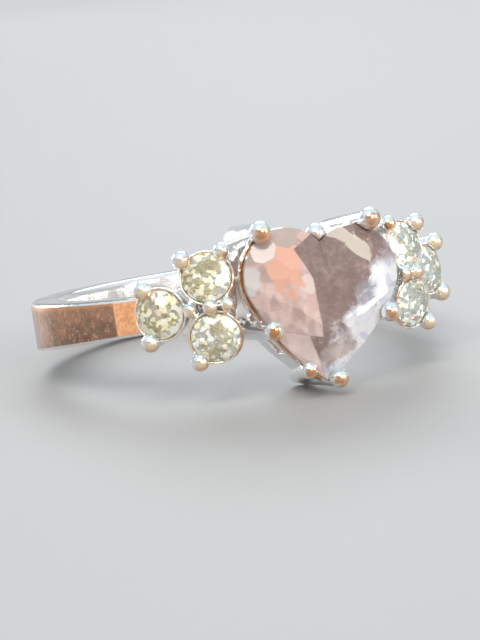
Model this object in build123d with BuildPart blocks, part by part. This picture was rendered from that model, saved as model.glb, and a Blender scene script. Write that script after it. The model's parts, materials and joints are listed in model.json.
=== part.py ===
from build123d import *
from math import acos, asin, atan, atan2, cos, degrees, hypot, radians, sin, sqrt, tan
import os

# Sizes are in millimetres. While it is made, the ring has the finger along Z and the heart towards -Y,
# with the left shoulder at -X. At the end it is laid on its side, as it rests by itself.

# Shank: a flat band, narrower at the shoulders than at the back
hole_radius = 8.5
shank_wall = 1.5
shank_front_width = 1.5
shank_back_width = 3.1
shank_round = 0.22
comfort_round = 0.3

# Heart stone: width, height and the arcs of its outline, then the depths of its cut
heart_width = 7.35
heart_height = 6.85
heart_lobe_radius = 2.1
heart_side_radius = 10.0
heart_crown = 0.95
heart_girdle = 0.2
heart_pavilion = 2.7
heart_keel_top = 0.9
heart_keel_bottom = -0.4
heart_crown_slope = 34.0

# Where the heart sits: the girdle's distance from the finger's axis, how far it hangs low, and its turn
heart_reach = 11.75
heart_drop = 0.6
heart_turn = 6.0

# Round stones
round_diameter = 2.2
round_crown = 0.34
round_girdle = 0.08
round_pavilion = 0.94
round_crown_slope = 34.0

# Facets of the heart's right half, as directions in degrees from its middle
heart_crown_mains = (122.0, 82.0, 42.0, 2.0, -41.0, -70.0)
heart_crown_breaks = (140.0, 104.0, 62.0, 24.0, -22.0, -45.0)
heart_pavilion_mains = (112.0, 68.0, 34.0, 0.0, -41.0, -66.0)
heart_pavilion_breaks = (134.0, 90.0, 51.0, 17.0, -24.0)
round_mains = 8
star_slope = 21.0
star_share = 0.5
crown_break_slope = 43.0
pavilion_break_extra = 3.0

# The metal stands this far off each stone
seat_gap = 0.03

# Heart basket: a thin rail under the stone's edge, a lower rail round the finger's opening and, at the
# tip, a wall that joins the two
rail_rim = 0.05
rail_wall = 0.55
rail_drop = 0.5
rail_height = 0.5
window_height = 1.25
foot_share = 0.93
foot_wall = 0.7
foot_spread = 0.75
cup_height = 1.3

# Heart claws: straight rods from the lower rail, each ending in a ball over the stone's edge, and a post
# that fills the cleft
heart_neck_share = 0.9
heart_foot_stand = -0.1
heart_foot_depth = 3.5
heart_ball = 0.5
heart_claws = (
    # hand, walks along the edge of the ball and of the foot (0 cleft, 1 end of the lobe, 2 tip), and as
    # shares of heart_ball: how far out of the edge and above the girdle the ball stands, radius of the
    # ball, radius of the foot
    (-1, 0.48, 0.48, 0.52, 0.80, 1.00, 1.48),
    (1, 0.37, 0.37, 0.72, 0.80, 1.04, 1.24),
    (-1, 1.33, 1.33, 0.00, 0.80, 0.94, 1.00),
    (1, 1.18, 1.18, 0.32, 0.80, 0.94, 0.92),
    (-1, 1.78, 1.99, 0.32, 0.80, 0.80, 0.84),
    (1, 1.90, 1.98, 0.40, 0.80, 0.90, 0.88),
    (1, 0.00, 0.00, 0.56, -0.70, 0.96, 1.00),
)

# Shoulders: three round stones a side, two beside the heart and one outside them
inner_angle = 24.4
inner_reach = 11.75
inner_height = 1.34
inner_lean = 12.0
outer_angle = 36.8
outer_reach = 11.2
collet_wall = 0.17
collet_foot_radius = 0.75
inner_collet_sink = 0.55
outer_collet_sink = 1.1
stone_hole_radius = 0.42
web_radius = 0.72
web_depth = 1.0

# Claws of the round stones
round_ball_lift = 0.2
round_neck_share = 0.8
round_foot_share = 0.92
round_foot_rise = 0.2
round_claw_lean = 0.3
round_ball = 0.4
round_claws = (
    # stone, direction from it (0 away from the heart, 90 up), gap from its edge as a share of round_ball,
    # where the claw's back is, radius of the ball as a share of round_ball
    ("upper", 42.0, 0.600, 42.0, 1.100),
    ("upper", 128.0, 0.600, 128.0, 0.950),
    ("upper", -90.0, 0.650, 0.0, 0.875),
    ("upper", -120.0, 1.150, -150.0, 0.825),
    ("lower", -48.0, 0.500, -48.0, 1.050),
    ("outer", 64.0, 0.550, 64.0, 1.100),
    ("outer", -64.0, 0.550, -64.0, 1.100),
    ("outer", 180.0, 1.100, 180.0, 0.900),
)

# What follows from the sizes above
shank_radius = hole_radius + shank_wall
web_reach = outer_reach - web_depth
inner_collet_depth = inner_reach - web_reach + inner_collet_sink
outer_collet_depth = outer_reach - web_reach + outer_collet_sink
collet_depths = {"upper": inner_collet_depth, "lower": inner_collet_depth, "outer": outer_collet_depth}
heart_seat = Plane(
    origin=(0, -heart_reach, -heart_drop),
    x_dir=(cos(radians(heart_turn)), 0, -sin(radians(heart_turn))),
    z_dir=(0, -1, 0),
)


def toward(direction):
    return Vector(cos(radians(direction)), sin(radians(direction)))


# The heart's right half is an arc for the lobe and a flatter one from there to the tip, touching it
lobe_centre = Vector(heart_width / 2 - heart_lobe_radius, heart_height / 2 - heart_lobe_radius)
tip = Vector(0, -heart_height / 2)
tip_to_lobe = lobe_centre - tip
centre_gap = heart_side_radius - heart_lobe_radius
along = (heart_side_radius**2 - centre_gap**2 + tip_to_lobe.length**2) / (2 * tip_to_lobe.length)
aside = sqrt(heart_side_radius**2 - along**2)
tip_way = tip_to_lobe.normalized()
side_centre = tip + tip_way * along + Vector(-tip_way.Y, tip_way.X) * aside


def angle_of(vector):
    return degrees(atan2(vector.Y, vector.X))


lobe_end = angle_of(lobe_centre - side_centre)
tip_end = angle_of(tip - side_centre)


def heart_arcs(share, grow):
    """Both arcs of the right half, scaled by share and then grown: centre, radius, first and last angle."""
    lobe, lobe_radius = lobe_centre * share, heart_lobe_radius * share + grow
    side, side_radius = side_centre * share, heart_side_radius * share + grow
    cleft_angle = degrees(acos(-lobe.X / lobe_radius))
    tip_angle = -degrees(acos(-side.X / side_radius))
    return (lobe, lobe_radius, cleft_angle, lobe_end), (side, side_radius, lobe_end, tip_angle)


def edge_point(walk, share=1.0, grow=0.0):
    """A point of the right half's outline: 0 is the cleft, 1 the end of the lobe and 2 the tip."""
    lobe, side = heart_arcs(share, grow)
    centre, radius, first, last = lobe if walk <= 1 else side
    part_way = walk if walk <= 1 else walk - 1
    return centre + toward(first + (last - first) * part_way) * radius


def heart_half_edge(share, grow):
    """Two arcs from the cleft to the tip, drawn into the open line."""
    points = [edge_point(step / 2, share, grow) for step in range(5)]
    points[0] = Vector(0, points[0].Y)
    points[-1] = Vector(0, points[-1].Y)
    ThreePointArc(points[0], points[1], points[2])
    ThreePointArc(points[2], points[3], points[4])
    return points


def heart_face(share=1.0, grow=0.0):
    """The whole outline as a flat face, scaled by share and then grown."""
    with BuildSketch() as outline:
        with BuildLine():
            heart_half_edge(share, grow)
            mirror(about=Plane.YZ)
        make_face()
    return outline.sketch_local


def heart_support(direction):
    """How far the right half reaches from the heart's middle in a direction."""
    aim = toward(direction)
    if direction < tip_end:
        return aim.dot(tip)
    if direction < lobe_end:
        return aim.dot(side_centre) + heart_side_radius
    return aim.dot(lobe_centre) + heart_lobe_radius


def cut_facet(direction, reach, level, slope, spare, face=1):
    """Grinds one facet on the open part: face is 1 for the crown and -1 for the pavilion."""
    flat = toward(direction)
    tilt = radians(slope)
    out = Vector(flat.X * sin(tilt), flat.Y * sin(tilt), face * cos(tilt))
    place = Vector(flat.X * reach, flat.Y * reach, face * level) + out * spare
    split(bisect_by=Plane(origin=place, z_dir=out), keep=Keep.BOTTOM)


def meeting_reach(first, second, reaches, middle):
    """Where the lines of two facets cross, measured along a direction between them."""
    a, b = toward(first), toward(second)
    cross = a.X * b.Y - a.Y * b.X
    x = (reaches[0] * b.Y - reaches[1] * a.Y) / cross
    y = (reaches[1] * a.X - reaches[0] * b.X) / cross
    return toward(middle).dot(Vector(x, y))


def heart_pavilion_slope(direction):
    """The slope of a facet that runs from the girdle to the near end of the keel."""
    keel = Vector(0, heart_keel_top if direction > 0 else heart_keel_bottom)
    return degrees(atan(heart_pavilion / (heart_support(direction) - toward(direction).dot(keel))))


def cut_heart(spare=0.0):
    """The heart stone about its girdle's middle, table up. Its seat has only the main facets, spare mm out."""
    top = heart_girdle / 2
    with BuildPart() as stone:
        with BuildSketch(Plane.XY.offset(-top - heart_pavilion - spare)):
            with BuildLine():
                ends = heart_half_edge(1.0, spare)
                Line(ends[0], ends[-1])
            make_face()
        extrude(amount=heart_pavilion + heart_girdle + heart_crown + 2 * spare)
        slope = heart_crown_slope
        for direction in heart_crown_mains:
            cut_facet(direction, heart_support(direction), top, slope, spare)
        for direction in heart_pavilion_mains:
            pavilion_slope = heart_pavilion_slope(direction)
            cut_facet(direction, heart_support(direction), top, pavilion_slope, spare, face=-1)
        if not spare:
            for direction in heart_crown_breaks:
                cut_facet(direction, heart_support(direction), top, crown_break_slope, spare)
            level = heart_crown * star_share
            for first, second in zip(heart_crown_mains, heart_crown_mains[1:]):
                reaches = [heart_support(d) - level / tan(radians(slope)) for d in (first, second)]
                middle = (first + second) / 2
                reach = meeting_reach(first, second, reaches, middle)
                cut_facet(middle, reach, top + level, star_slope, spare)
            for direction in heart_pavilion_breaks:
                break_slope = heart_pavilion_slope(direction) + pavilion_break_extra
                cut_facet(direction, heart_support(direction), top, break_slope, spare, face=-1)
        mirror(about=Plane.YZ)
    return stone.part


def cut_round(spare=0.0):
    """One round brilliant about its girdle's middle, table up, or its seat of main facets."""
    radius = round_diameter / 2
    top = round_girdle / 2
    turn = 360 / round_mains
    pavilion_slope = degrees(atan(round_pavilion / radius))
    with BuildPart() as stone:
        with BuildSketch(Plane.XY.offset(-top - round_pavilion - spare)):
            Circle(radius + spare)
        extrude(amount=round_pavilion + round_girdle + round_crown + 2 * spare)
        level = round_crown * star_share
        star_reach = (radius - level / tan(radians(round_crown_slope))) / cos(radians(turn / 2))
        for main in range(round_mains):
            direction = main * turn
            cut_facet(direction, radius, top, round_crown_slope, spare)
            cut_facet(direction, radius, top, pavilion_slope, spare, face=-1)
            if spare:
                continue
            cut_facet(direction + turn / 2, star_reach, top + level, star_slope, spare)
            for side in (-1, 1):
                between = direction + side * turn / 4
                cut_facet(between, radius, top, crown_break_slope, spare)
                cut_facet(between, radius, top, pavilion_slope + pavilion_break_extra, spare, face=-1)
    return stone.part


def shoulder_plane(hand, angle, reach, height, lean):
    """Where a round stone sits: X points away from the heart and Z out of the table."""
    around = radians(angle)
    away = Vector(hand * cos(around), sin(around), 0)
    radial = Vector(hand * sin(around), -cos(around), 0)
    out = radial * cos(radians(lean)) + Vector(0, 0, 1) * sin(radians(lean))
    return Plane(origin=radial * reach + Vector(0, 0, height), x_dir=away, z_dir=out)


def turned(start, way, back, points):
    """A round solid on the axis from start along way, turned from a profile of (radius, height) points."""
    with BuildSketch(Plane(origin=start, x_dir=back, z_dir=back.cross(way))) as profile:
        Polygon((0, 0), *points, (0, points[-1][1]), align=None)
    revolve(profile.sketch, axis=Axis(start, way))


def claw(foot, top, foot_radius, neck_radius, ball_radius, back):
    """A tapering rod that ends in a ball about top, in one turned body with its seam towards back."""
    way = top - foot
    neck = way.length - sqrt(ball_radius**2 - neck_radius**2)
    back = (back - way * (back.dot(way) / way.dot(way))).normalized()
    with BuildSketch(Plane(origin=foot, x_dir=back, z_dir=back.cross(way))) as profile:
        with BuildLine():
            Polyline((0, way.length + ball_radius), (0, 0), (foot_radius, 0), (neck_radius, neck))
            ThreePointArc((neck_radius, neck), (ball_radius, way.length), (0, way.length + ball_radius))
        make_face()
    revolve(profile.sketch, axis=Axis(foot, way))


seats = {}
for hand_name, hand in (("left", -1), ("right", 1)):
    seats[hand_name, "upper"] = shoulder_plane(hand, inner_angle, inner_reach, inner_height, inner_lean)
    seats[hand_name, "lower"] = shoulder_plane(hand, inner_angle, inner_reach, -inner_height, -inner_lean)
    seats[hand_name, "outer"] = shoulder_plane(hand, outer_angle, outer_reach, 0, 0)

heart_cut, heart_pocket = cut_heart(), cut_heart(seat_gap)
round_cut, round_pocket = cut_round(), cut_round(seat_gap)

# The shank: a flat band all the way round, cut to its taper and eased at its edges
with BuildPart() as shank:
    with BuildSketch():
        Circle(shank_radius)
        Circle(hole_radius, mode=Mode.SUBTRACT)
    extrude(amount=shank_back_width, both=True)
    with BuildSketch(Plane.YZ):
        Polygon(
            (-shank_radius, -shank_front_width / 2),
            (shank_radius, -shank_back_width / 2),
            (shank_radius, shank_back_width / 2),
            (-shank_radius, shank_front_width / 2),
            align=None,
        )
    extrude(amount=shank_radius, both=True, mode=Mode.INTERSECT)
    outer_skin = shank.faces().filter_by(GeomType.CYLINDER).sort_by(SortBy.AREA)[-1]
    inner_skin = shank.faces().filter_by(GeomType.CYLINDER).sort_by(SortBy.AREA)[0]
    fillet(outer_skin.edges(), shank_round)
    fillet(inner_skin.edges(), comfort_round)

# The heart's basket: a wall that follows the stone's outline, opened by a window everywhere but the tip
basket_depth = heart_reach - hole_radius + foot_spread
with BuildPart() as basket:
    with BuildSketch(heart_seat.offset(-rail_drop)):
        add(heart_face(grow=rail_rim))
    with BuildSketch(heart_seat.offset(-basket_depth)):
        add(heart_face(foot_share))
    loft(ruled=True)
    with BuildSketch(heart_seat.offset(-rail_drop)):
        add(heart_face(1 - 2 * (rail_wall - rail_rim) / heart_width))
    with BuildSketch(heart_seat.offset(-basket_depth)):
        add(heart_face(foot_share - 2 * foot_wall / heart_width))
    loft(ruled=True, mode=Mode.SUBTRACT)
    with BuildSketch(heart_seat.offset(-rail_drop - rail_height)):
        with Locations((0, cup_height)):
            Rectangle(heart_width * 2, heart_height)
    extrude(amount=-window_height, mode=Mode.SUBTRACT)

floor_points = []
with BuildPart() as claws:
    for hand, walk, foot_walk, stand, lift, size, foot_size in heart_claws:
        ball, foot_radius = heart_ball * size, heart_ball * foot_size
        foot = edge_point(foot_walk, 1.0, heart_foot_stand)
        end = edge_point(walk, 1.0, heart_ball * stand)
        back = edge_point(walk, 1.0, rail_rim) - edge_point(walk)
        back = heart_seat.x_dir * (hand * back.X) + heart_seat.y_dir * back.Y
        low = heart_seat.from_local_coords(Vector(hand * foot.X, foot.Y, -heart_foot_depth))
        high = heart_seat.from_local_coords(Vector(hand * end.X, end.Y, heart_ball * lift))
        claw(low, high, foot_radius, ball * heart_neck_share, ball, back)
        way = (high - low).normalized()
        sink = (way * way.Z - Vector(0, 0, 1)).normalized()
        heel = low + sink * foot_radius
        heel += way * ((-hole_radius - heel.Y) / way.Y)
        floor_points += [(high, ball), (heel, 0)]
    for hand_name, hand in (("left", -1), ("right", 1)):
        for stone, direction, gap, back_direction, size in round_claws:
            seat = seats[hand_name, stone]
            ball = round_ball * size
            reach = round_diameter / 2 + round_ball * gap
            inward = reach - round_claw_lean
            spot = toward(direction)
            back = toward(back_direction)
            back = seat.x_dir * back.X + seat.y_dir * (hand * back.Y)
            high = seat.from_local_coords(Vector(spot.X * reach, hand * spot.Y * reach, round_ball_lift))
            depth = collet_depths[stone] - round_foot_rise
            low = seat.from_local_coords(Vector(spot.X * inward, hand * spot.Y * inward, -depth))
            claw(low, high, ball * round_foot_share, ball * round_neck_share, ball, back)

# The shoulders: a cone-shaped collet under each round stone, and a web that ties three to the shank
with BuildPart() as collets:
    for (hand_name, stone), seat in seats.items():
        depth = collet_depths[stone]
        foot = seat.from_local_coords(Vector(0, 0, -depth))
        rim = (round_diameter / 2 + collet_wall, depth + round_girdle / 2)
        turned(foot, seat.z_dir, seat.x_dir, ((collet_foot_radius, 0), rim))
    for hand_name, hand in (("left", -1), ("right", 1)):
        middle_angle = (inner_angle + outer_angle) / 2
        top_plane = shoulder_plane(hand, middle_angle, web_reach, 0, 0)
        with BuildSketch(top_plane):
            for stone in ("upper", "lower", "outer"):
                seat = seats[hand_name, stone]
                spot = top_plane.to_local_coords(seat.from_local_coords(Vector(0, 0, -web_depth)))
                with Locations((spot.X, spot.Y)):
                    Circle(web_radius)
            make_hull()
        extrude(amount=-(web_reach - hole_radius + foot_spread))

with BuildPart() as setting_and_band:
    add(shank.part)
    add(collets.part)
    add(basket.part)
    add(claws.part)
    with BuildSketch(heart_seat.offset(-basket_depth)):
        add(heart_face(foot_share - 2 * foot_wall / heart_width))
    extrude(amount=basket_depth - rail_drop, mode=Mode.SUBTRACT)
    with Locations(heart_seat):
        add(heart_pocket, mode=Mode.SUBTRACT)
    for (hand_name, stone), seat in seats.items():
        with Locations(seat):
            add(round_pocket, mode=Mode.SUBTRACT)
            Cylinder(
                stone_hole_radius,
                2 * collet_depths[stone],
                align=(Align.CENTER, Align.CENTER, Align.MAX),
                mode=Mode.SUBTRACT,
            )
    Cylinder(hole_radius, 4 * heart_height, mode=Mode.SUBTRACT)

with BuildPart() as heart_stone:
    with Locations(heart_seat):
        add(heart_cut)

pieces = {"setting_and_band": setting_and_band, "heart_stone": heart_stone}
for (hand_name, stone), seat in seats.items():
    with BuildPart() as round_stone:
        with Locations(seat):
            add(round_cut)
    pieces[f"{hand_name}_{stone}_stone"] = round_stone


def resting_pitch(point, radius):
    """How far the ring leans when a ball about this point and the shank's back edge are down."""
    run = shank_radius - shank_round - point.Y
    rise = shank_round - shank_back_width / 2 - point.Z
    return degrees(atan2(rise, run) + asin((radius - shank_round) / hypot(run, rise)))


# Laid on its side: the lowest claw and the back of the shank are down, and the origin is under the middle
pitch = max(resting_pitch(point, radius) for point, radius in floor_points)
laid = Rot(-pitch, 0, 0)
boxes = [(laid * piece.part).bounding_box() for piece in pieces.values()]
middle_x = (min(box.min.X for box in boxes) + max(box.max.X for box in boxes)) / 2
middle_y = (min(box.min.Y for box in boxes) + max(box.max.Y for box in boxes)) / 2
ground = min(box.min.Z for box in boxes)
rest = Pos(-middle_x, -middle_y, -ground) * laid
print("pitch", pitch, "shift", rest.position)

os.makedirs("parts", exist_ok=True)
for name, piece in pieces.items():
    piece.part.move(rest)
    piece.part.label = name
    export_step(piece.part, f"parts/{name}.step")
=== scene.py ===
import json
from math import asin, cos, radians, sin

import bmesh
import bpy
from mathutils import Matrix, Vector


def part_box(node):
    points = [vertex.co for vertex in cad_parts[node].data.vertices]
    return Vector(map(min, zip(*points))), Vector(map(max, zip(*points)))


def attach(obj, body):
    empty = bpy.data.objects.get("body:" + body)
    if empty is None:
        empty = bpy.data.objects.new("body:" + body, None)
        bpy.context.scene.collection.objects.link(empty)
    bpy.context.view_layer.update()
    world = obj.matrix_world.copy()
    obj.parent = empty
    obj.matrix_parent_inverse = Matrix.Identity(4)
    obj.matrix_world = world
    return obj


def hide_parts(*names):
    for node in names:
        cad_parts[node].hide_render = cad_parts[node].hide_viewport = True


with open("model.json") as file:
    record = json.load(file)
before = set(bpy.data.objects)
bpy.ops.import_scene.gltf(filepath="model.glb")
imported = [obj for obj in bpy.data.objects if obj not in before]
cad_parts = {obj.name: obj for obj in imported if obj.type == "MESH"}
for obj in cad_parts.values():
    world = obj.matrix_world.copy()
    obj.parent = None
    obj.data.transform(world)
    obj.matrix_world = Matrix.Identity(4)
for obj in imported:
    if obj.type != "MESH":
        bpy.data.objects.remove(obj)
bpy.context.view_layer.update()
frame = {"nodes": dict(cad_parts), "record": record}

mm = 0.001
facetStep = 0.05  # faces whose directions differ by less are one facet
print("frame loaded:", ", ".join(sorted(frame["nodes"])))

# The ring's own axes: the finger along Z and the heart towards -Y, as it was before it was laid down
fingerHole = next(mount for mount in frame["record"]["mounts"] if mount["name"] == "finger_hole")
ringCentre = Vector(fingerHole["pos_m"])
ringPitch = asin(fingerHole["axis"][1])
ringTurn = Matrix.Rotation(-ringPitch, 3, "X")
ringPlace = Matrix.Translation(ringCentre) @ ringTurn.to_4x4()


class Value:
    # a node's output that can be used in plain sums
    def __init__(self, graph, socket):
        self.graph = graph
        self.socket = socket

    def __add__(self, other):
        return self.graph.sum("ADD", self, other)

    def __radd__(self, other):
        return self.graph.sum("ADD", other, self)

    def __sub__(self, other):
        return self.graph.sum("SUBTRACT", self, other)

    def __rsub__(self, other):
        return self.graph.sum("SUBTRACT", other, self)

    def __mul__(self, other):
        return self.graph.sum("MULTIPLY", self, other)

    def __rmul__(self, other):
        return self.graph.sum("MULTIPLY", other, self)

    def __truediv__(self, other):
        return self.graph.sum("DIVIDE", self, other)

    def __pow__(self, other):
        return self.graph.sum("POWER", self, other)


class Graph:
    # the nodes of one material or of the world
    def __init__(self, owner):
        owner.use_nodes = True
        self.owner = owner
        self.tree = owner.node_tree
        self.tree.nodes.clear()

    def node(self, kind, settings=None, sockets=None, output=0):
        made = self.tree.nodes.new(kind)
        for name, value in (settings or {}).items():
            if name == "stops":
                ramp = made.color_ramp.elements
                while len(ramp) < len(value):
                    ramp.new(0.5)
                for stop, (place, colour) in zip(ramp, value):
                    stop.position = place
                    stop.color = (*colour, 1)
            else:
                setattr(made, name, value)
        for name, value in (sockets or {}).items():
            if isinstance(value, Value):
                self.tree.links.new(value.socket, made.inputs[name])
            elif hasattr(value, "__len__") and len(value) == 3 and made.inputs[name].type == "RGBA":
                made.inputs[name].default_value = (*value, 1)
            else:
                made.inputs[name].default_value = value
        return Value(self, made.outputs[output]) if made.outputs else None

    def sum(self, operation, first, second):
        return self.node("ShaderNodeMath", {"operation": operation}, {0: first, 1: second})

    def larger(self, first, second):
        return self.sum("MAXIMUM", first, second)

    def smaller(self, first, second):
        return self.sum("MINIMUM", first, second)

    def between(self, value, low, high, start=0.0, end=1.0):
        # start up to low and end from high on, and smoothly from one to the other
        sockets = {"Value": value, "From Min": low, "From Max": high, "To Min": start, "To Max": end}
        return self.node("ShaderNodeMapRange", {"interpolation_type": "SMOOTHSTEP"}, sockets)

    def mix(self, share, first, second):
        return self.node("ShaderNodeMix", {"data_type": "RGBA"}, {0: share, 6: first, 7: second}, 2)

    def parts(self, vector):
        # X, Y and Z of a vector
        separate = self.node("ShaderNodeSeparateXYZ", sockets={"Vector": vector})
        return [Value(self, output) for output in separate.socket.node.outputs]

    def seenFrom(self, where, output, unit, centre):
        # a point or a direction of the piece in the axes of where
        return self.node("ShaderNodeMapping", {"vector_type": "TEXTURE"}, {
            "Vector": self.node("ShaderNodeTexCoord", output=output),
            "Location": centre,
            "Rotation": where.to_euler(),
            "Scale": (unit,) * 3,
        })

    def place(self, where):
        # in millimetres
        return self.seenFrom(where, "Object", mm, where.translation)

    def facing(self, where):
        return self.seenFrom(where, "Normal", 1, (0, 0, 0))

    def noise(self, vector, size, detail=3.0, stretch=(1, 1, 1)):
        stretched = self.node("ShaderNodeVectorMath", {"operation": "DIVIDE"}, {0: vector, 1: stretch})
        sockets = {"Vector": stretched, "Scale": 1 / size, "Detail": detail}
        return self.node("ShaderNodeTexNoise", sockets=sockets)

    def uneven(self, *noises):
        # noises from 0 to 1 added up about nought, each with its weight
        (first, weight), *others = noises
        total = (first - 0.5) * weight
        for value, weight in others:
            total = total + (value - 0.5) * weight
        return total

    def perFacet(self, where, seed):
        # one number from 0 to 1 for each flat face, by the way that it faces
        facing, step = self.facing(where), (facetStep,) * 3
        turned = self.node("ShaderNodeVectorMath", {"operation": "ADD"}, {0: facing, 1: (seed,) * 3})
        snapped = self.node("ShaderNodeVectorMath", {"operation": "SNAP"}, {0: turned, 1: step})
        return self.node("ShaderNodeTexWhiteNoise", sockets={"Vector": snapped})

    def cells(self, vector, size):
        # one number from 0 to 1 for each small chip
        sockets = {"Vector": vector, "Scale": 1 / size}
        return self.parts(self.node("ShaderNodeTexVoronoi", sockets=sockets, output="Color"))[0]

    def bump(self, height, depth):
        return self.node("ShaderNodeBump", sockets={"Height": height, "Distance": depth, "Strength": 1.0})

    def shader(self, sockets):
        return self.node("ShaderNodeBsdfPrincipled", sockets=sockets)

    def surface(self, shader):
        self.node("ShaderNodeOutputMaterial", sockets={"Surface": shader})
        return self.owner


def newGraph(name):
    return Graph(bpy.data.materials.new(name))


metalLook = {
    "white": (0.95, 0.94, 0.92),
    "cool": (0.73, 0.87, 0.90),
    "rose": (0.80, 0.47, 0.29),
    "reflectedCopper": (0.62, 0.30, 0.12),
    "cream": (0.93, 0.74, 0.50),
    "copper": (0.56, 0.30, 0.19),
    "brown": (0.27, 0.15, 0.11),
    "olive": (0.34, 0.25, 0.14),
    "scratch": (0.84, 0.58, 0.46),
    "orange": (1.0, 0.50, 0.25),
    "amber": (0.84, 0.38, 0.18),
    "reflectedGrey": (0.34, 0.35, 0.32),
    "metallic": 0.88,
    "roughness": 0.10,
    # the sizes of the marks in mm
    "cloudSize": 1.1,
    "speckSize": 0.35,
    "stainSize": 0.55,
    "scratchSize": 0.2,
    "smudgeSize": 1.4,
    "brushSize": 0.07,
    "brushDepth": 0.0012 * mm,
    # the claws: how far out and how low they start, in mm, and which are the heart's and where the white
    # post in its cleft is, as squares of the way to the side, and its foot
    "tipRadius": (11.0, 11.5),
    "cup": (-3.4, -3.8),
    "heartClaws": (18, 16),
    "post": (1.5, 1.0),
    "postFoot": (0, 0.5),
    # the white metal takes painted reflections: cool above, rose below, and copper on what faces the aim
    "skyReflection": (0.7, 1.2),
    "skyShare": (0.3, 0.6),
    "under": (1.6, 1.95),
    "underShare": (0.15, 0.7),
    "creamMottle": (0.4, 0.6),
    "reflectionAim": (-0.34, -0.93, -0.12),
    "reflectionFrom": (0.78, 0.92),
    "reflectionShare": (0.4, 0.55, 0.8, 0.95),
    # the outside of the band, in mm and as shares of the way towards the heart
    "bandRadius": (9.75, 9.92),
    "bandFrom": (0.72, 0.76),
    "bandRim": (0.25, 0.6),
    "halfWidth": 1.15,
    "taper": 0.04,
    # darker brown: tarnish, and painted shade towards the band's lower edge
    "dark": (1.1, 1.8),
    "stains": (0.5, 0.62, 0, 0.55),
    "scratches": (0.54, 0.68, 0, 0.55),
    # painted highlight along the band's upper edge
    "edge": (0.78, 0.98, 0, 0.8),
    # painted dark reflection on the tops of the band, away from the heart
    "rim": (0.85, 1.05),
    "rimRadius": (10.3, 10.1),
    # the band's marks are calmer away from the left side and the front
    "calm": 0.45,
    "livelySide": (2, -3),
    "livelyFront": (-0.5, 0.2),
    # a painted highlight: the bright place beside the left shoulder
    "patch": (0.60, 0.61),
    "patchSide": (0, -1),
    "patchMottle": (0.45, 0.6),
    "patchShine": 0.7,
    "smudges": (0.35, 0.75),
    "smudgeRoughness": 0.14,
}


def polishedMetal():
    look = metalLook
    graph = newGraph("polishedMetal")
    place, facing = graph.place(ringPlace), graph.facing(ringPlace)
    x, y, z = graph.parts(place)
    across, front, up = graph.parts(facing)
    radius = (x * x + y * y) ** 0.5
    towardsHeart = y * -1 / radius
    clouds = graph.noise(place, look["cloudSize"], 4)
    specks = graph.noise(place, look["speckSize"], 4)
    fine = graph.noise(place, look["scratchSize"], 5)

    # the white metal and its painted reflections
    tips = graph.larger(graph.between(radius, *look["tipRadius"]), graph.between(z, *look["cup"]))
    # painted sky reflection: cool on what faces up, more so on the claws
    skyReflection = graph.between(up + specks * 0.8, *look["skyReflection"])
    plain, more = look["skyShare"]
    colour = graph.mix(skyReflection * (plain + tips * more), look["white"], look["cool"])
    heartClaws = graph.between(x * x, *look["heartClaws"])
    rose = graph.mix(graph.between(specks, *look["creamMottle"]), look["cream"], look["rose"])
    rose = graph.mix(heartClaws, rose, look["rose"])
    # painted warm reflection: rose on what faces down and forwards, more so on the claws
    under = graph.between(front * -0.7 - up * 0.5 + specks * 1.1 + clouds * 1.3, *look["under"])
    plain, more = look["underShare"]
    colour = graph.mix(under * (plain + tips * more), colour, rose)
    # painted copper reflection, in patches, on the claws where they face the aim, but not on the post in
    # the heart's cleft
    aimX, aimY, aimZ = look["reflectionAim"]
    aimed = across * aimX + front * aimY + up * aimZ
    aimedReflection = graph.between(aimed + (specks - 0.5) * 0.35, *look["reflectionFrom"]) * tips
    aimedReflection = aimedReflection * (1 - graph.between(x * x, *look["post"]) * graph.between(z, *look["postFoot"]))
    tipReflection = graph.mix(heartClaws, look["cream"], look["reflectedCopper"])
    colour = graph.mix(aimedReflection * graph.between(clouds, *look["reflectionShare"]), colour, tipReflection)

    # the copper of the band: a painted warm reflection, with tarnish, stains and scratches on it
    rounds = graph.node("ShaderNodeCombineXYZ", sockets={"X": 0.0, "Y": z, "Z": radius})
    brush = graph.noise(rounds, look["brushSize"], 2)
    level = z / (look["halfWidth"] + y * look["taper"])
    calm = look["calm"]
    lively = graph.between(x, *look["livelySide"], calm, 1)
    lively = lively * graph.between(towardsHeart, *look["livelyFront"], calm, 1)
    # darker brown mottling: tarnish, and painted shade towards the band's lower edge
    dark = graph.between(specks * 1.2 + clouds + brush * 0.6 - level * 0.25, *look["dark"])
    copper = graph.mix(dark * lively, look["copper"], look["brown"])
    stains = graph.between(graph.noise(place, look["stainSize"], 5), *look["stains"])
    copper = graph.mix(stains * lively, copper, look["olive"])
    copper = graph.mix(graph.between(fine, *look["scratches"]) * lively, copper, look["scratch"])
    # painted highlight: orange along the band's upper edge
    copper = graph.mix(graph.between(level + specks * 0.3, *look["edge"]), copper, look["orange"])
    # painted highlight: orange and amber beside the left shoulder, less metallic there
    patch = graph.between(towardsHeart, *look["patch"]) * graph.between(x, *look["patchSide"])
    shoulderHighlight = graph.mix(graph.between(fine, *look["patchMottle"]), look["orange"], look["amber"])
    copper = graph.mix(patch, copper, shoulderHighlight)

    # and where it shows
    behind = 1 - graph.between(towardsHeart, *look["bandFrom"])
    # painted reflection: dark grey on the band's upward faces away from the heart
    rim = graph.between(up + specks * 0.3, *look["rim"]) * behind
    colour = graph.mix(rim * graph.between(radius, *look["rimRadius"]), colour, look["reflectedGrey"])
    steep = (up * up) ** 0.5
    band = graph.between(radius, *look["bandRadius"]) * behind
    band = band * (1 - graph.between(steep, *look["bandRim"]))
    colour = graph.mix(band, colour, copper)
    smudges = graph.between(graph.noise(place, look["smudgeSize"], 4), *look["smudges"])
    return graph.surface(graph.shader({
        "Base Color": colour,
        "Metallic": look["metallic"] - patch * band * look["patchShine"],
        "Roughness": look["roughness"] + smudges * look["smudgeRoughness"],
        "Normal": graph.bump(brush * smudges, look["brushDepth"]),
    }))


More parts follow.
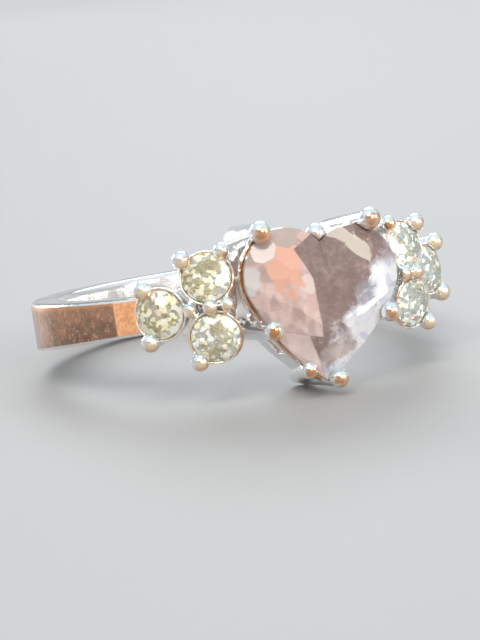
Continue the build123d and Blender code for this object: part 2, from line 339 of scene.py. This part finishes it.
# The heart's own axes: X to its right, Y towards the cleft and Z out of the table
heartLook = {
    "turn": 6.0,
    "centre": (0, -11.75, -0.6),
    "roughness": 0.06,
    "index": 1.55,
    "clearness": 0.4,
    # the left half
    "pink": (0.78, 0.55, 0.48),
    "dusk": (0.56, 0.40, 0.36),
    "pale": (0.97, 0.78, 0.71),
    "ash": (0.80, 0.77, 0.73),
    "salmon": (0.92, 0.50, 0.36),
    "grey": (0.56, 0.44, 0.38),
    "duskMottle": (0.42, 0.68),
    "veil": (0.45, 0.7),
    "veilStretch": (1, 4, 1),
    "low": (-0.4, -1.4),
    # crown facets facing up and to the left are painted greyer, a painted reflection
    "greyFacets": (0.45, 0.6),
    # colour, place, half width and half height, share
    "patches": [
        ("dusk", (-2.75, 1.3), (0.5, 0.35), 0.7),
        ("ash", (-3.45, 1.2), (0.4, 0.7), 0.9),
        ("pale", (-1.05, 0.95), (0.5, 0.4), 0.8),
        ("salmon", (-1.95, 1.65), (0.75, 1.2), 1.0),
    ],
    "patchEdge": (1.2, 0.5),
    # the right half, and what shows in its glare
    "mauve": (0.265, 0.18, 0.157),
    "dust": (0.425, 0.30, 0.25),
    "dustMottle": (0.38, 0.72),
    "haze": (0.55, 0.50, 0.54),
    "hazeShare": 0.75,
    "hazeReach": (-0.35, 0.5),
    "lavender": (0.76, 0.76, 0.86),
    "glint": (1.0, 1.0, 1.0),
    "chipMottle": (0.5, 1.1),
    "mist": (0.33, 0.32, 0.34),
    "smoke": (0.46, 0.38, 0.34),
    "blush": (0.68, 0.56, 0.52),
    "glarePatches": [
        ("mist", (1.9, 0.3), (0.55, 0.5), 0.85),
        ("glint", (1.55, -0.95), (0.75, 0.45), 0.95),
        ("smoke", (0.8, -1.75), (0.5, 0.35), 0.9),
        ("smoke", (0.35, -1.95), (0.5, 0.4), 0.9),
        ("smoke", (0.0, -2.4), (0.4, 0.4), 0.9),
        ("blush", (0.5, -2.2), (0.5, 0.3), 1.0),
    ],
    "glarePatchEdge": (1.9, 0.1),
    # the glare grows along this way, by its reach and depth in mm, and round its lobes
    "glareAim": (0.8, -0.6),
    "glareReach": 1.15,
    "glareDepth": 1.0,
    "glareLobes": [((1.75, -0.75), 1.15), ((2.75, 1.1), 0.9)],
    "lobeEdge": (1.1, 0.3),
    "lobeRise": 0.7,
    "glareTop": (2.5, 1.9),
    "glareFacets": (0.3, 0.45),
    "lit": (0.1, 1.0),
    "glareMottle": (0.3, 0.5, 0.7, 1.0),
    # the beige facet beside the cleft, a painted reflection
    "beige": (0.80, 0.71, 0.59),
    "kite": ((1.3, 2.71), -33.8, (1.05, 0.36)),
    "kiteTaper": 0.3,
    "kiteEnds": (1.15, 0.85),
    "kiteSides": (1.2, 0.8),
    "kiteShare": 0.85,
    # the keel's line under the table: its start, lean, bend and turn, and the step in it at the ledge
    "keel": -0.64,
    "keelLean": -0.15,
    "keelBend": (1.1, -0.38),
    "keelTurn": (2.45, 2.2),
    "keelWidth": 0.05,
    "ledge": -1.6,
    "ledgeLean": -0.22,
    "ledgeWidth": 0.02,
    "ledgeLine": (0.06, 0.03),
    "ledgeShade": 0.45,
    "tip": -3.2,
    "step": 0.32,
    # how far out of the stone a face looks: the table, a shallow facet, and any front facet
    "table": (0.85, 0.97),
    "shallow": (0.5, 0.6),
    "forwards": (0, 0.3),
    # the sizes of the marks in mm
    "cloudSize": 1.2,
    "mottleSize": 0.7,
    "grainSize": 0.18,
    "veilSize": 0.35,
    "shardSize": 0.6,
    "chipSize": 0.42,
    "chipEdgeSize": 0.294,
}
heartPlace = (
    ringPlace
    @ Matrix.Translation(Vector(heartLook["centre"]) * mm)
    @ (Matrix.Rotation(radians(heartLook["turn"]), 4, "Y") @ Matrix.Rotation(radians(90), 4, "X"))
)


def roseStone():
    look = heartLook
    graph = newGraph("roseStone")
    place = graph.place(heartPlace)
    x, y = graph.parts(place)[:2]
    right, high, out = graph.parts(graph.facing(heartPlace))
    clouds = graph.noise(place, look["cloudSize"], 4)
    mottle = graph.noise(place, look["mottleSize"], 8)
    grain = graph.noise(place, look["grainSize"], 4)
    shards = graph.cells(place, look["shardSize"])
    shallow = graph.between(out, *look["shallow"])

    def fromMiddle(middle, size):
        # the square of the way from the middle of an ellipse, 1 at its edge
        return ((x - middle[0]) / size[0]) ** 2 + ((y - middle[1]) / size[1]) ** 2

    def patched(colour, patches, ragged, edge):
        for name, middle, size, share in patches:
            patch = graph.between(fromMiddle(middle, size) + ragged, *edge, 0, share)
            colour = graph.mix(patch, colour, look[name])
        return colour

    # the keel and the ledge across it, which part the pavilion's two halves and their painted reflections
    overLedge = y - x * look["ledgeLean"] - look["ledge"]
    ledge = graph.between(overLedge, look["ledgeWidth"], -look["ledgeWidth"])
    keel = look["keel"] + y * look["keelLean"]
    for start, lean in (look["keelBend"], look["keelTurn"]):
        keel = keel + graph.larger(y - start, 0.0) * lean
    keel = keel - ledge * (y - look["tip"]) * look["step"]
    rightHalf = graph.between(x - keel, -look["keelWidth"], look["keelWidth"])

    # the left half
    dusky = graph.between(mottle * 0.7 + shards * 0.3, *look["duskMottle"])
    leftSide = graph.mix(dusky, look["pink"], look["dusk"])
    veil = graph.between(graph.noise(place, look["veilSize"], 3, look["veilStretch"]), *look["veil"])
    low = graph.between(y, *look["low"])
    leftSide = graph.mix(veil * 0.35 + low * 0.3 + ledge * 0.3, leftSide, look["pale"])
    blotted = graph.uneven((clouds, 4), (mottle, 3))
    leftSide = patched(leftSide, look["patches"], blotted, look["patchEdge"])
    wide, narrow = (reach ** 2 for reach in look["ledgeLine"])
    line = graph.between(overLedge * overLedge, wide, narrow, 0, look["ledgeShade"])
    leftSide = graph.mix(line, leftSide, look["dusk"])

    # the right half
    dusty = graph.between(mottle * 0.6 + grain * 0.4, *look["dustMottle"])
    rightSide = graph.mix(dusty, look["mauve"], look["dust"])
    # painted reflection: the stone's pink, lighter on the pavilion's left half and darker mauve on its
    # right half
    colour = graph.mix(rightHalf, leftSide, rightSide)

    # the beige facet, and the greyer ones round the left lobe, both painted reflections
    middle, kiteTurn, (kiteLong, kiteWide) = look["kite"]
    turnX, turnY = cos(radians(kiteTurn)), sin(radians(kiteTurn))
    along = (x - middle[0]) * turnX + (y - middle[1]) * turnY
    over = (y - middle[1]) * turnX - (x - middle[0]) * turnY
    ragged = graph.uneven((mottle, 2), (shards, 0.8))
    beige = graph.between((along / kiteLong) ** 2 + ragged, *look["kiteEnds"])
    tapered = over / kiteWide + along * look["kiteTaper"]
    beige = beige * graph.between(tapered ** 2 + ragged, *look["kiteSides"])
    colour = graph.mix(beige * look["kiteShare"], colour, look["beige"])
    onCrown = 1 - graph.between(out, *look["table"])
    grey = graph.between(high - right * 0.6, *look["greyFacets"]) * (1 - rightHalf)
    colour = graph.mix(grey * onCrown, colour, look["grey"])

    # the glare
    (aimX, aimY), start = look["glareAim"], look["glareReach"]
    chipEdge = graph.cells(place, look["chipEdgeSize"])
    reach = x * aimX + y * aimY + chipEdge * 0.5 + (mottle - 0.5) * 1.4
    for middle, size in look["glareLobes"]:
        away = fromMiddle(middle, (size, size)) + (clouds - 0.5) * 1.5
        reach = reach + graph.between(away, *look["lobeEdge"]) * look["lobeRise"]
    glare = graph.between(reach, start, start + look["glareDepth"]) * rightHalf
    hazeStart, hazeEnd = (start + offset for offset in look["hazeReach"])
    hazy = graph.between(reach + (grain - 0.5) * 1.2, hazeStart, hazeEnd) * rightHalf
    colour = graph.mix(hazy * shallow * look["hazeShare"], colour, look["haze"])
    facets = graph.between(right * 0.9 - high * 0.45, *look["glareFacets"])
    facets = facets * graph.between(out, *look["forwards"])
    lit = graph.between(facets + glare * shallow, *look["lit"])
    lit = lit * graph.between(y + clouds, *look["glareTop"])
    chips = graph.between(graph.cells(place, look["chipSize"]) + mottle, *look["chipMottle"])
    bright = graph.mix(chips, look["lavender"], look["glint"])
    colour = graph.mix(lit * graph.between(clouds, *look["glareMottle"]), colour, bright)
    broken = graph.uneven((mottle, 3), (shards, 1.2), (grain, 2))
    colour = patched(colour, look["glarePatches"], broken, look["glarePatchEdge"])
    return graph.surface(graph.shader({
        "Base Color": colour,
        "Roughness": look["roughness"],
        "IOR": look["index"],
        "Transmission Weight": look["clearness"],
    }))


roundLook = {
    "white": (1.0, 1.0, 0.93),
    "cool": (0.93, 0.99, 0.95),
    "straw": (1.0, 0.90, 0.58),
    "green": (0.74, 0.66, 0.34),
    "rosy": (0.86, 0.62, 0.50),
    "roughness": 0.01,
    "index": 2.1,
    "clearness": 0.79,
    "chipSize": 0.27,
    # from the middle of the ring to the cooler side, and to the far left stone, in mm
    "coolSide": (-5, 5),
    "farLeft": (-5.6, -6.2),
    "sideLean": (0.1, -0.25),
    # the paler ring round each stone's edge, a painted reflection of its girdle, and how deep its girdle
    # lies, in mm
    "girdleDepth": 0.28,
    "outerRing": (0.74, 0.92),
    "ringLean": 0.22,
    "farthest": 10.0,
    # the facets' painted reflections: white, straw or green by the way each faces, and at random
    "facetSeed": 0.3,
    "strawFrom": (0.36, 0.56),
    "greenFrom": (0.64, 0.68),
    # the small facets that throw the light straight back
    "spark": (0.92, 0.92, 0.86),
    "sparkSize": 0.2,
    "sparkRoughness": 0.05,
    "sparkFrom": (0.74, 0.82),
    "sparkShare": 0.7,
    "outerSparks": 0.37,
    "leftSparks": 0.22,
    "strawSparks": (0.4, 0.7),
    "rosySparks": (0.86, 0.88),
}


def roundMiddles():
    # the middles of the round stones' girdles, in the ring's axes and in mm
    for node in frame["nodes"]:
        if node not in ("setting_and_band", "heart_stone"):
            low, high = (Vector(corner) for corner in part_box(node))
            middle = ringPlace.inverted() @ ((low + high) / 2) / mm
            yield middle + Vector((middle.x, middle.y, 0)).normalized() * roundLook["girdleDepth"]


def clearStone():
    look = roundLook
    graph = newGraph("clearStone")
    place = graph.place(ringPlace)
    x = graph.parts(place)[0]
    rightSide = graph.between(x, *look["coolSide"])
    farLeft = graph.between(x, *look["farLeft"])
    level, lean = look["sideLean"]
    side = rightSide * lean + level
    nearest = look["farthest"]
    for middle in roundMiddles():
        ends = {0: place, 1: middle}
        away = graph.node("ShaderNodeVectorMath", {"operation": "DISTANCE"}, ends, "Value")
        nearest = graph.smaller(away, nearest)
    chips = graph.cells(place, look["chipSize"])
    # painted reflection: paler, with more sparks, round each stone's girdle
    outer = graph.between(nearest + (chips - 0.5) * 0.2, *look["outerRing"])

    # the clear glass, each facet painted white, straw or green by the way it faces, a painted reflection
    chance = graph.perFacet(ringPlace, look["facetSeed"]) * 0.5 + chips * 0.5
    chance = chance + side - outer * look["ringLean"]
    colour = graph.mix(rightSide, look["white"], look["cool"])
    colour = graph.mix(graph.between(chance, *look["strawFrom"]), colour, look["straw"])
    colour = graph.mix(graph.between(chance, *look["greenFrom"]), colour, look["green"])
    glass = graph.shader({
        "Base Color": colour,
        "Roughness": look["roughness"],
        "IOR": look["index"],
        "Transmission Weight": look["clearness"],
    })

    # the sparks
    spark = graph.mix(rightSide, look["spark"], look["cool"])
    spark = graph.mix(graph.between(chips + side, *look["strawSparks"]), spark, look["straw"])
    spark = graph.mix(graph.between(chips, *look["rosySparks"]), spark, look["rosy"])
    bright = graph.shader({
        "Base Color": spark,
        "Roughness": look["sparkRoughness"],
        "IOR": look["index"],
    })
    sparks = graph.cells(place, look["sparkSize"])
    sparks = sparks + outer * look["outerSparks"] + farLeft * look["leftSparks"]
    share = graph.between(sparks, *look["sparkFrom"], 0, look["sparkShare"])
    return graph.surface(graph.node("ShaderNodeMixShader", sockets={0: share, 1: glass, 2: bright}))


# The metal as it leaves the polishing wheel: the same solid with soft solder at its joints and worn edges
castLook = {
    "merge": 0.0001,  # points nearer than this, in mm, are one
    "voxel": 0.065,  # in mm
    "smoothing": 0.5,
    "passes": 7,
    "share": 0.36,  # of the faces that stay
    "fewest": 1000,  # points in a piece of metal that stays
}


def dropSpecks(mesh, fewest):
    # deletes the loose specks of a few faces that the voxels leave in the metal and beside it
    shape = bmesh.new()
    shape.from_mesh(mesh)
    seen, specks = set(), []
    for start in shape.verts:
        island, reached = [], [start]
        while reached:
            vert = reached.pop()
            if vert not in seen:
                seen.add(vert)
                island.append(vert)
                reached += [edge.other_vert(vert) for edge in vert.link_edges]
        if len(island) < fewest:
            specks += island
    bmesh.ops.delete(shape, geom=specks, context="VERTS")
    shape.to_mesh(mesh)
    shape.free()


def softMetal(material):
    look = castLook
    shape = bmesh.new()
    shape.from_mesh(frame["nodes"]["setting_and_band"].data)
    bmesh.ops.remove_doubles(shape, verts=shape.verts, dist=look["merge"] * mm)
    mesh = bpy.data.meshes.new("soft_metal")
    shape.to_mesh(mesh)
    shape.free()
    mesh.materials.clear()
    mesh.materials.append(material)
    draft = bpy.data.objects.new("soft_metal_draft", mesh)
    bpy.context.scene.collection.objects.link(draft)
    remesh = draft.modifiers.new("remesh", "REMESH")
    remesh.mode = "VOXEL"
    remesh.voxel_size = look["voxel"] * mm
    remesh.use_smooth_shade = True
    smooth = draft.modifiers.new("smooth", "SMOOTH")
    smooth.factor = look["smoothing"]
    smooth.iterations = look["passes"]
    thin = draft.modifiers.new("thin", "DECIMATE")
    thin.ratio = look["share"]
    depsgraph = bpy.context.evaluated_depsgraph_get()
    finished = bpy.data.meshes.new_from_object(draft.evaluated_get(depsgraph))
    bpy.data.objects.remove(draft)
    dropSpecks(finished, look["fewest"])
    piece = bpy.data.objects.new("soft_metal", finished)
    bpy.context.scene.collection.objects.link(piece)
    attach(piece, "root")
    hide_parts("setting_and_band")
    print("soft metal made:", len(finished.polygons), "faces")


def dress(node, material):
    slots = frame["nodes"][node].data.materials
    slots.clear()
    slots.append(material)


metal, rose, clear = polishedMetal(), roseStone(), clearStone()
finishes = {"setting_and_band": metal, "heart_stone": rose}
for node in frame["nodes"]:
    dress(node, finishes.get(node, clear))
print("materials made")
softMetal(metal)

# The floor, which turns up into a paler wall all round, and the light
floorLook = {
    "radius": 0.85,  # in metres, as are the bend's radius and the height where the wall is palest
    "bend": 0.45,
    "bendSteps": 18,
    "turn": -75,
    "steps": 64,
    "merge": 1e-6,
    "colour": (0.35, 0.34, 0.33),
    "wall": (0.42, 0.41, 0.40),
    "wallFrom": (0.0, 0.2),
    "roughness": 0.6,
}


def layFloor():
    look = floorLook
    graph = newGraph("paleFloor")
    height = graph.parts(graph.node("ShaderNodeTexCoord", output="Object"))[2]
    colour = graph.mix(graph.between(height, *look["wallFrom"]), look["colour"], look["wall"])
    graph.surface(graph.shader({"Base Color": colour, "Roughness": look["roughness"]}))
    shape = bmesh.new()
    middle = shape.verts.new((0, 0, 0))
    edge = shape.verts.new((look["radius"], 0, 0))
    shape.edges.new((middle, edge))
    bend = {"cent": (look["radius"], 0, look["bend"]), "axis": (0, 1, 0), "angle": radians(look["turn"])}
    bmesh.ops.spin(shape, geom=[edge], steps=look["bendSteps"], **bend)
    around = {"axis": (0, 0, 1), "angle": radians(360), "use_merge": True}
    bmesh.ops.spin(shape, geom=shape.verts[:] + shape.edges[:], steps=look["steps"], **around)
    bmesh.ops.remove_doubles(shape, verts=shape.verts, dist=look["merge"])
    bmesh.ops.recalc_face_normals(shape, faces=shape.faces)
    for face in shape.faces:
        face.smooth = True
    mesh = bpy.data.meshes.new("floor")
    shape.to_mesh(mesh)
    shape.free()
    mesh.materials.append(graph.owner)
    floor = bpy.data.objects.new("floor", mesh)
    bpy.context.scene.collection.objects.link(floor)


lights = {
    # place from the ring's middle in mm, size in mm, power in W, colour
    "key": ((-520, -835, 1170), 800, 12.0, (1.0, 0.99, 0.97)),
    "front": ((150, -1000, 420), 600, 4.0, (1.0, 0.98, 0.94)),
    "fill": ((760, -760, 296), 422, 4.6, (0.95, 0.95, 1.0)),
    "rim": ((400, 900, 700), 700, 5.0, (0.88, 0.95, 1.0)),
    "back": ((-350, 1000, 330), 450, 5.0, (0.95, 0.98, 1.0)),
}
worldLook = {
    "stops": [
        (0.50, (0.32, 0.25, 0.22)),
        (0.60, (0.34, 0.32, 0.32)),
        (0.75, (0.60, 0.66, 0.72)),
        (1.00, (0.88, 0.94, 1.00)),
    ],
    "strength": 1.0,
}


def lightUp():
    for name, (place, size, power, colour) in lights.items():
        light = bpy.data.lights.new(name, "AREA")
        light.shape = "DISK"
        light.size = size * mm
        light.energy = power
        light.color = colour
        lamp = bpy.data.objects.new(name, light)
        lamp.location = Vector(place) * mm + ringCentre
        lamp.rotation_euler = (lamp.location - ringCentre).to_track_quat("Z", "Y").to_euler()
        lamp.visible_camera = False
        bpy.context.scene.collection.objects.link(lamp)
    world = bpy.data.worlds.new("studio")
    bpy.context.scene.world = world
    graph = Graph(world)
    height = graph.parts(graph.node("ShaderNodeTexCoord", output="Generated"))[2]
    colour = graph.node("ShaderNodeValToRGB", {"stops": worldLook["stops"]}, {"Fac": height * 0.5 + 0.5})
    sockets = {"Color": colour, "Strength": worldLook["strength"]}
    background = graph.node("ShaderNodeBackground", sockets=sockets)
    graph.node("ShaderNodeOutputWorld", sockets={"Surface": background})


layFloor()
lightUp()
print("floor and light set")

# The camera, as seen from the ring's own axes: its turn to the left of the heart, its rise and its roll,
# its distance, how far it is aimed off the ring's middle, and its lens in pixels of the frame's long side
view = {
    "yaw": 19.7,
    "rise": 2.7,
    "roll": -9.0,
    "distance": 98.5,
    "aim": (0.41, -1.24),
    "lensPixels": 1963,
    "frameHeight": 640,
    "sensor": 36,
}


def setCamera():
    yaw, rise, roll = (radians(view[name]) for name in ("yaw", "rise", "roll"))
    back = Vector((-sin(yaw) * cos(rise), -cos(yaw) * cos(rise), sin(rise)))
    level = Vector((cos(yaw), -sin(yaw), 0))
    upright = back.cross(level)
    right = level * cos(roll) + upright * sin(roll)
    up = upright * cos(roll) - level * sin(roll)
    place = (right * view["aim"][0] + up * view["aim"][1] + back * view["distance"]) * mm
    turn = Matrix((right, up, back)).transposed()
    camera = bpy.data.cameras.new("camera")
    camera.sensor_width = view["sensor"]
    camera.lens = view["lensPixels"] / view["frameHeight"] * view["sensor"]
    camera.clip_start = 1 * mm
    holder = bpy.data.objects.new("camera", camera)
    holder.matrix_world = ringPlace @ (Matrix.Translation(place) @ turn.to_4x4())
    bpy.context.scene.collection.objects.link(holder)
    bpy.context.scene.camera = holder


setCamera()
bpy.context.scene.view_settings.view_transform = "Standard"
print("camera set")
